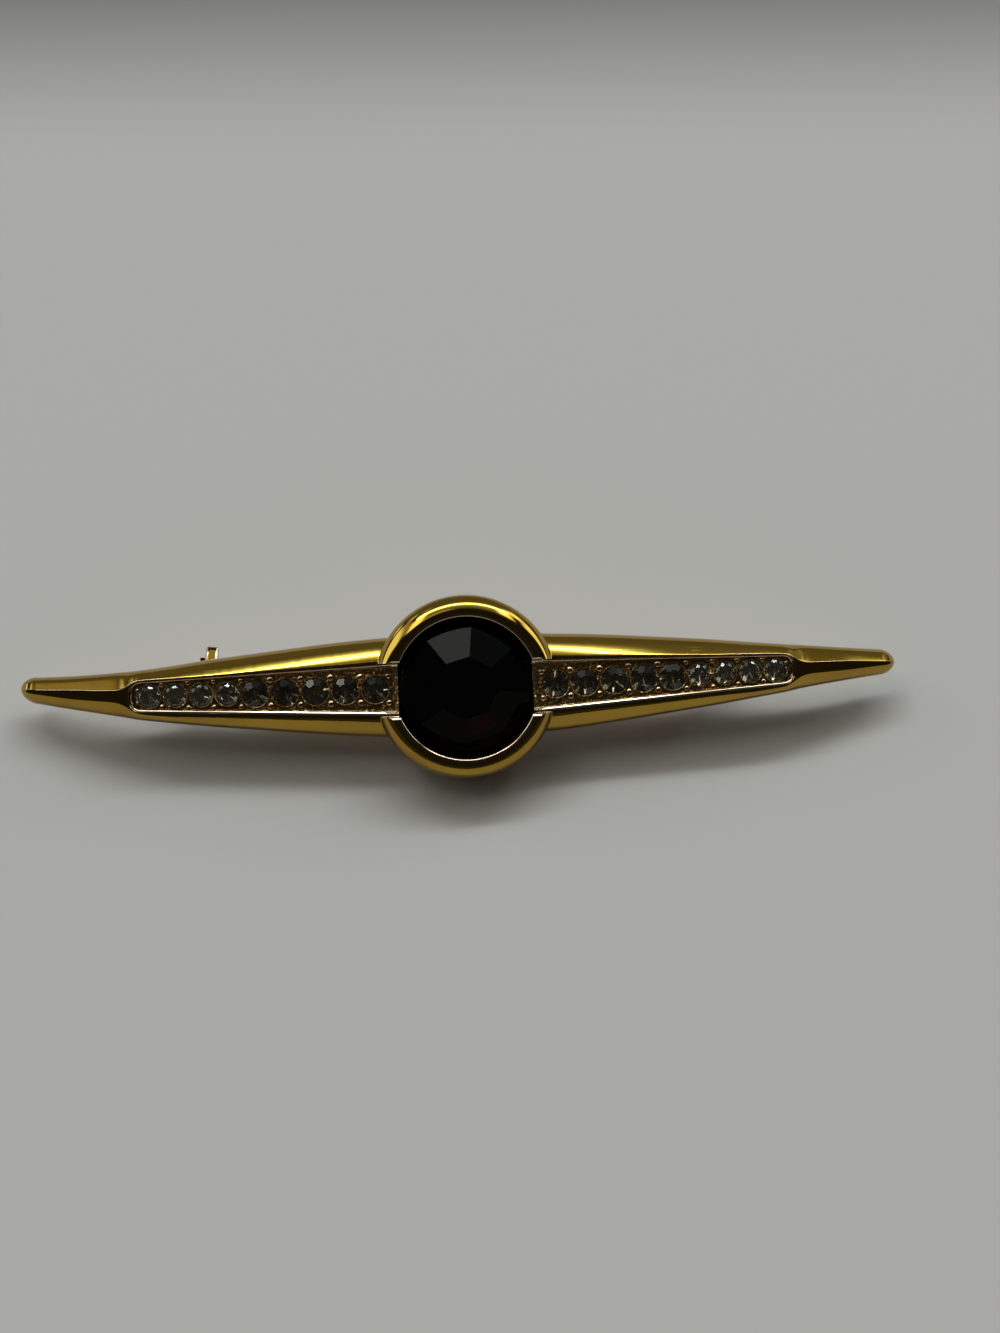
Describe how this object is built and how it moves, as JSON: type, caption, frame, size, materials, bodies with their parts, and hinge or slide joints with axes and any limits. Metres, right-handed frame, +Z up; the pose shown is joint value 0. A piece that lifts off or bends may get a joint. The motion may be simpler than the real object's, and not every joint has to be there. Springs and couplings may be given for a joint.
{
  "type": "bar brooch",
  "caption": "Bar brooch with two tapered arms set with small crystals, a raised ring round a dark red faceted stone, and a pin across the back.",
  "frame": {"origin": "middle of the brooch's footprint, on the surface that it lies on", "axes": "+X along the bar, +Z up; the face is turned up and leans about 26 degrees towards -Y, and the catch is on the -X arm"},
  "size_m": [0.0858, 0.017, 0.0111],
  "materials": {
    "gold_metal": "polished gold plating",
    "rose_metal": "polished rose-toned plating",
    "red_glass": "polished dark red glass, foiled behind",
    "crystal": "polished clear crystal, foiled behind",
    "pin_wire": "polished drawn wire"
  },
  "bodies": {
    "root": {"body": "gold_metal", "stone_tray_left": "rose_metal", "stone_tray_right": "rose_metal", "centre_stone": "red_glass", "pin_stem": "pin_wire", "crystal_left_1": "crystal", "crystal_left_2": "crystal", "crystal_left_3": "crystal", "crystal_left_4": "crystal", "crystal_left_5": "crystal", "crystal_left_6": "crystal", "crystal_left_7": "crystal", "crystal_left_8": "crystal", "crystal_left_9": "crystal", "crystal_right_1": "crystal", "crystal_right_2": "crystal", "crystal_right_3": "crystal", "crystal_right_4": "crystal", "crystal_right_5": "crystal", "crystal_right_6": "crystal", "crystal_right_7": "crystal", "crystal_right_8": "crystal", "crystal_right_9": "crystal"}
  },
  "joints": []
}
